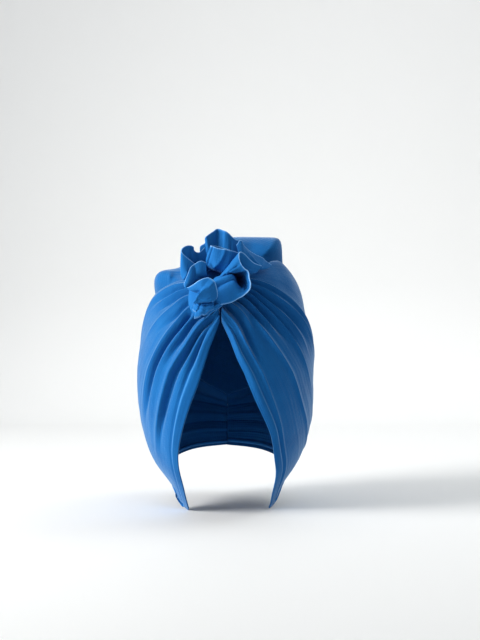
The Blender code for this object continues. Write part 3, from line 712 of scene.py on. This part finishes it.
# %% Sections of the ruffles
# across, up and out of the free edge, then of the fold that the strip turns on, in mm from the rosette
RUFFLES = {
    "ruffle_front": (
        (-11, 11, 19, -10, 0.5, 21), (-15.5, 12.5, 20, -13.5, -0.5, 22), (-20.5, 10, 22, -17, -1.5, 23),
        (-24, 7, 24, -19.5, -3, 25), (-26, 1.5, 27, -22, -6, 28), (-28, -4, 30, -24, -9, 31),
        (-29, -8.5, 33, -26, -11.5, 33), (-27, -11, 35, -24, -12.5, 34), (-24, -10, 37, -20.5, -14, 36),
        (-20.5, -8, 39, -17, -15, 37), (-17, -5.5, 41, -14.5, -16.5, 38), (-13, -3.5, 42, -15.5, -18.5, 39),
        (-9, -2.5, 42, -18, -21.5, 40), (-6, -3.5, 42, -20.5, -23, 40), (-3, -6.5, 42, -16.5, -23, 40),
        (-1.5, -11.5, 41, -12, -23, 40), (-1, -15.5, 39, -8.5, -23, 39), (-1.5, -19, 37, -6, -22.5, 37),
        (-4, -22, 34, -5, -22.5, 34)),
    "ruffle_right": (
        (-4, -24, 25, -6.5, -7.5, 26), (1, -25, 27, -2.5, -3.5, 28), (6, -24.5, 30, 3, -2, 30),
        (11.5, -23, 32, 8, -1, 31), (16, -20.5, 33, 12.5, -1, 30), (20.5, -18, 34, 15, -5, 26),
        (24, -15, 34, 17, -9.5, 22), (26.5, -11.5, 34, 19.5, -10, 19), (27, -7, 33, 20.5, -7, 17),
        (26, -3, 32, 20.5, -3.5, 17), (25.5, 1, 32, 20, 0.5, 18), (24.5, 3.5, 32, 18.5, 2.5, 21),
        (21.5, 6, 33, 15, 3, 26), (19, 9.5, 33, 10.5, 2, 30), (17.5, 14.5, 31, 5.5, 0, 30),
        (17.5, 19, 27, 0.5, -1.5, 27), (19.5, 20, 23, 6, 4.5, 23), (22.5, 18, 20, 14.5, 6.5, 19),
        (25.5, 15, 16, 19.5, 6, 16), (29, 12, 12, 24, 4.5, 12), (32.5, 10.5, 7, 27.5, 3.5, 8),
        (36.5, 9.5, 2, 32, 3.5, 4)),
    "ruffle_middle": (
        (16.5, 20, 14, 10.5, 11, 14), (11, 21.5, 17, 7.5, 6, 17), (5, 22.5, 18, 2.5, 6, 18),
        (-1, 23.5, 18, -3, 8, 18), (-4.5, 25, 17, -8, 10, 16), (-7, 25.5, 14, -11, 12.5, 13),
        (-6, 26.5, 9, -9.5, 14.5, 9), (-1, 26, 6, -5.5, 15.5, 6), (4, 24.5, 5, 0.5, 15, 5),
        (9, 23, 5, 6, 14, 5)),
    "ruffle_top": (
        (-17.5, 22.5, -6, -12.5, 13, -2), (-17, 27, -8, -12, 14, -4), (-13, 30, -9, -10, 14.5, -5),
        (-12.5, 35, -10, -9, 15.5, -5), (-9.5, 38, -12, -8, 16, -6), (-5.5, 41, -15, -6, 16.5, -8),
        (-2, 43.5, -18, -2.5, 17, -10), (2.5, 42, -17, 2, 17.5, -9), (6.5, 40, -15, 5.5, 17.5, -8),
        (10, 37, -15, 9, 17.5, -8), (14, 33.5, -17, 13, 17.5, -10), (18, 33.5, -21, 16.5, 18.5, -15)),
    "ruffle_left": (
        (-20, 9.5, 14, -20, 1.5, 14), (-23.5, 12.5, 15, -23.5, 0, 15), (-28, 16, 16, -26.5, -1.5, 16),
        (-31.5, 19.5, 16, -29.5, -1, 16), (-32.5, 22, 14, -32, 1, 14), (-31.5, 24.5, 10, -30, 7, 10),
        (-28.5, 26.5, 6, -27, 10.5, 7), (-25.5, 27, 3, -24.5, 12.5, 4), (-23, 26, 1, -22, 12.5, 2),
        (-22.5, 23.5, 0, -20.5, 12, 1), (-20.5, 21.5, 0, -18, 10, 1), (-18, 21, 0, -15, 8, 2),
        (-15.5, 23, -1, -12.5, 10, 1), (-13.5, 25.5, -3, -10, 12, 0)),
    "ruffle_back": (
        (15, 28, -6, 17, 16, 0), (18.5, 32.5, -10, 20.5, 17, -3), (21.5, 27.5, -13, 24, 15.5, -5),
        (25.5, 24, -17, 27.5, 14, -9), (31.5, 20.5, -22, 31.5, 12, -13), (38, 18, -28, 35.5, 10, -18),
        (41.5, 15, -33, 38.5, 9, -23), (46.5, 12, -38, 43, 8.5, -28)),
}
# small folds of the gathered base, drawn the same way
CRUMPLES = {
    "crumple_low": (
        (-21, -25, 23, -18.5, -20, 26), (-19, -27, 24, -18, -21, 26), (-21.5, -29.5, 23, -17.5, -22, 26),
        (-18.5, -32, 25, -16.5, -23, 27), (-20.5, -36.5, 23, -16, -24, 26),
        (-16.5, -35.5, 25, -14.5, -24, 27), (-14.5, -33, 26, -12.5, -24, 28),
        (-12, -33.5, 25, -10, -23.5, 28),
        (-8.5, -30, 27, -6.5, -23.5, 28), (-4.5, -28, 26, -4, -22.5, 28)),
    "crumple_high": (
        (-13.5, -36, 21, -10, -31, 23), (-10, -34, 22, -7.5, -28, 24), (-6, -31, 23, -4, -25, 25),
        (-1.5, -28, 24, -0.5, -22.5, 26), (2.5, -25, 24, 2.5, -21, 26)),
}
# creases: section and share down the strip at the start and at the end, half width and height in mm
RUFFLE_CREASES = {
    "ruffle_front": ((10.2, 0.45, 13.8, 0.06, 1.6, -2.4), (11.5, 0.45, 15.5, 0.20, 1.8, 0.9),
                     (8.0, 0.40, 12.5, 0.12, 2.0, 0.8), (2.2, 0.10, 3.6, 0.60, 2.0, -1.4)),
    "ruffle_right": ((1.2, 0.22, 5.6, 0.42, 1.7, -2.6), (0.0, 0.30, 3.6, 0.50, 1.8, 1.2),
                     (5.6, 0.12, 7.4, 0.30, 1.6, 1.3), (15.2, 0.20, 12.4, 0.62, 1.5, -1.2),
                     (13.2, 0.10, 14.2, 0.55, 1.6, -1.6), (11.6, 0.10, 12.6, 0.50, 1.6, 1.2),
                     (17.0, 0.20, 19.0, 0.60, 1.8, 1.2)),
    "ruffle_middle": ((2.0, 0.05, 3.2, 0.55, 1.6, 1.2), (4.3, 0.0, 4.5, 0.6, 1.3, -1.4)),
    "ruffle_top": ((6.0, 0.02, 5.6, 0.60, 2.4, 1.1), (7.6, 0.05, 7.4, 0.60, 2.2, -0.9),
                   (3.2, 0.05, 4.4, 0.60, 1.6, -1.0), (9.0, 0.1, 9.2, 0.6, 1.8, 1.0)),
    "ruffle_left": ((2.0, 0.30, 4.0, 0.75, 1.8, 1.2), (7.0, 0.10, 6.4, 0.60, 1.6, 1.0)),
    "ruffle_back": ((2.4, 0.15, 5.6, 0.60, 1.6, -1.2),),
}


# flat length and depth chosen for each strip, in metres
RUFFLE_FLAT = {"ruffle_front": (0.095, 0.024), "ruffle_right": (0.130, 0.028),
               "ruffle_middle": (0.055, 0.021), "ruffle_top": (0.060, 0.022), "ruffle_left": (0.065, 0.021),
               "ruffle_back": (0.045, 0.019)}
print("sections of the ruffles:", {name: len(rows) for name, rows in RUFFLES.items()})


# %% Ruffle surfaces
RUFFLE_GAP = 1.1 * MM           # a ruffle's root off the gathered base
ROOT_PULL = 0.75                # a root nearer the rosette's middle than its fold is
ROOT_STEPS = 5                  # steps that bring a root to the base straight behind its fold
FOLD_WEIGHT = 2.2               # how tight a strip turns on its fold
# EDGE_HIGHLIGHT_FADE is how far the painted highlight along the free edge reaches.
EDGE_HIGHLIGHT_FADE = 0.55 * MM           # how far the light free edge reaches


def on_mound(points):
    """Slide points along lines from the head's middle until they touch the mound."""
    aim = points - np.array([0.0, 0.0, -HEAD_TOP])
    scaled = aim / np.array([HEAD_HALF_WIDTH, HEAD_FRONT, HEAD_TOP])
    unit = scaled / np.linalg.norm(scaled, axis=-1, keepdims=True)
    centre, side, up = mound_frame()
    turn = np.mod(np.arctan2(unit @ up, unit @ side), 2.0 * np.pi)
    away = np.degrees(np.arccos(np.clip(unit @ centre, -1.0, 1.0))) / mound_reach(turn)
    return on_head(unit, mound_lift(turn, np.clip(away, 0.0, 1.0)) + CLOTH + RUFFLE_GAP)


def ruffle_points(rows, along, down):
    """Each section runs from the edge round the fold to the root: a quadratic curve drawn tight to its
    middle point by a weight."""
    row = through(rows, along) * MM
    edge = ROSETTE + np.stack([row[..., 0], -row[..., 2], row[..., 1]], axis=-1)
    fold = ROSETTE + np.stack([row[..., 3], -row[..., 5], row[..., 4]], axis=-1)
    start = ROSETTE + (fold - ROSETTE) * np.array([ROOT_PULL, 1.0, ROOT_PULL])
    root = start
    for _ in range(ROOT_STEPS):
        root = np.stack([start[..., 0], on_mound(root)[..., 1], start[..., 2]], axis=-1)
    root = on_mound(root)
    pull = fold + (2.0 * fold - edge - root) / (2.0 * FOLD_WEIGHT)
    down = down[..., None]
    ahead, behind = (1.0 - down) ** 2, down ** 2
    middle = 2.0 * FOLD_WEIGHT * down * (1.0 - down)
    return (ahead * edge + middle * pull + behind * root) / (ahead + middle + behind)


def creased_ruffle(name, points, along, down, seed):
    """Push the strip out or in along its own normal at its creases and gathers."""
    normal = np.cross(np.gradient(points, axis=0), np.gradient(points, axis=1))
    normal = normal / np.maximum(np.linalg.norm(normal, axis=-1, keepdims=True), 1e-12)
    length, depth = RUFFLE_FLAT[name]
    last = len(RUFFLES[name]) - 1.0
    push = 0.40 * MM * wander(6.0 * along, 0.8 * down, seed, 8, 0.6, 1.6) * np.sin(np.pi * down)
    for first, first_down, final, final_down, half_width, height in RUFFLE_CREASES[name]:
        u, v = (along - first / last) * length, (down - first_down) * depth
        run = np.array([(final - first) / last * length, (final_down - first_down) * depth])
        share = np.clip((u * run[0] + v * run[1]) / np.dot(run, run), 0.0, 1.0)
        away = np.hypot(u - share * run[0], v - share * run[1])
        push += height * MM * np.exp(-(away / (half_width * MM)) ** CREASE_POWER)
    return points + normal * push[..., None]


def free_edge_highlight(points, light):
    """Share of the painted highlight: 1 along the free edge, fading within half a millimetre of it, times how
    strong the highlight is.
    """
    steps = np.linalg.norm(np.diff(points, axis=1), axis=-1)
    away = np.concatenate([np.zeros((len(points), 1)), np.cumsum(steps, axis=1)], axis=1)
    return light * np.exp(-np.square(away / EDGE_HIGHLIGHT_FADE))


# %% Make the gathered base and the ruffles
leaves = []
for rows in CRUMPLES.values():
    along, down = grid(60, 24)
    leaf = ruffle_points(rows, along, down)
    waves = np.abs(np.sin(np.pi * (5.0 * down ** 0.8 + 1.2 * along)))
    ripple = 1.1 * MM * waves * np.sin(np.pi * down ** 0.6)
    leaf = leaf + ripple[..., None] * np.array([0.1, -0.8, -0.5])
    # The crumples' free edges get the painted highlight at half strength.
    leaves.append((leaf, free_edge_highlight(leaf, 0.5)))
turn, out = np.meshgrid(2.0 * np.pi * np.arange(180) / 180, np.arange(1, 41) / 40, indexing="ij")
# The gathered base wears the rosette's copy of the jersey, painted lighter to stand in for light.
knot_wrap = cloth_piece("knot_wrap", mound_points(turn, out), (0.16, 0.04), RUFFLE_JERSEY_PAINTED_LIGHTER,
                        JERSEY_WALL, -1.0, tip=mound_points(np.zeros(1), np.zeros(1)),
                        closed=True, turned=True, leaves=leaves)

EDGE_CROWD = 1.4                # how much closer the points lie near the free edge
ruffles = {}
for seed, (name, rows) in enumerate(RUFFLES.items()):
    along, down = grid(150, 44)
    down = down ** EDGE_CROWD
    strip = creased_ruffle(name, ruffle_points(rows, along, down), along, down, seed)
    # Each ruffle's free edge gets the painted highlight at full strength.
    ruffles[name] = cloth_piece(name, strip, RUFFLE_FLAT[name], RUFFLE_JERSEY_PAINTED_LIGHTER, RUFFLE_WALL,
                                0.0, edge=free_edge_highlight(strip, 1.0))

# %% [markdown]
# ## Sheets and sizes
#
# Every piece is cloth. The area that each piece's own faces cover, before its wall is added, is printed
# in square centimetres.

def surface_area(piece):
    """Area of the piece's own faces, before its wall is added."""
    faces = np.zeros(len(piece.data.polygons))
    piece.data.polygons.foreach_get("area", faces)
    return float(faces.sum())


for piece in (panel_left, panel_right, band_right, crown_bag, knot_wrap, *ruffles.values()):
    print(piece.name, "covers", round(1e4 * surface_area(piece), 1), "square cm")
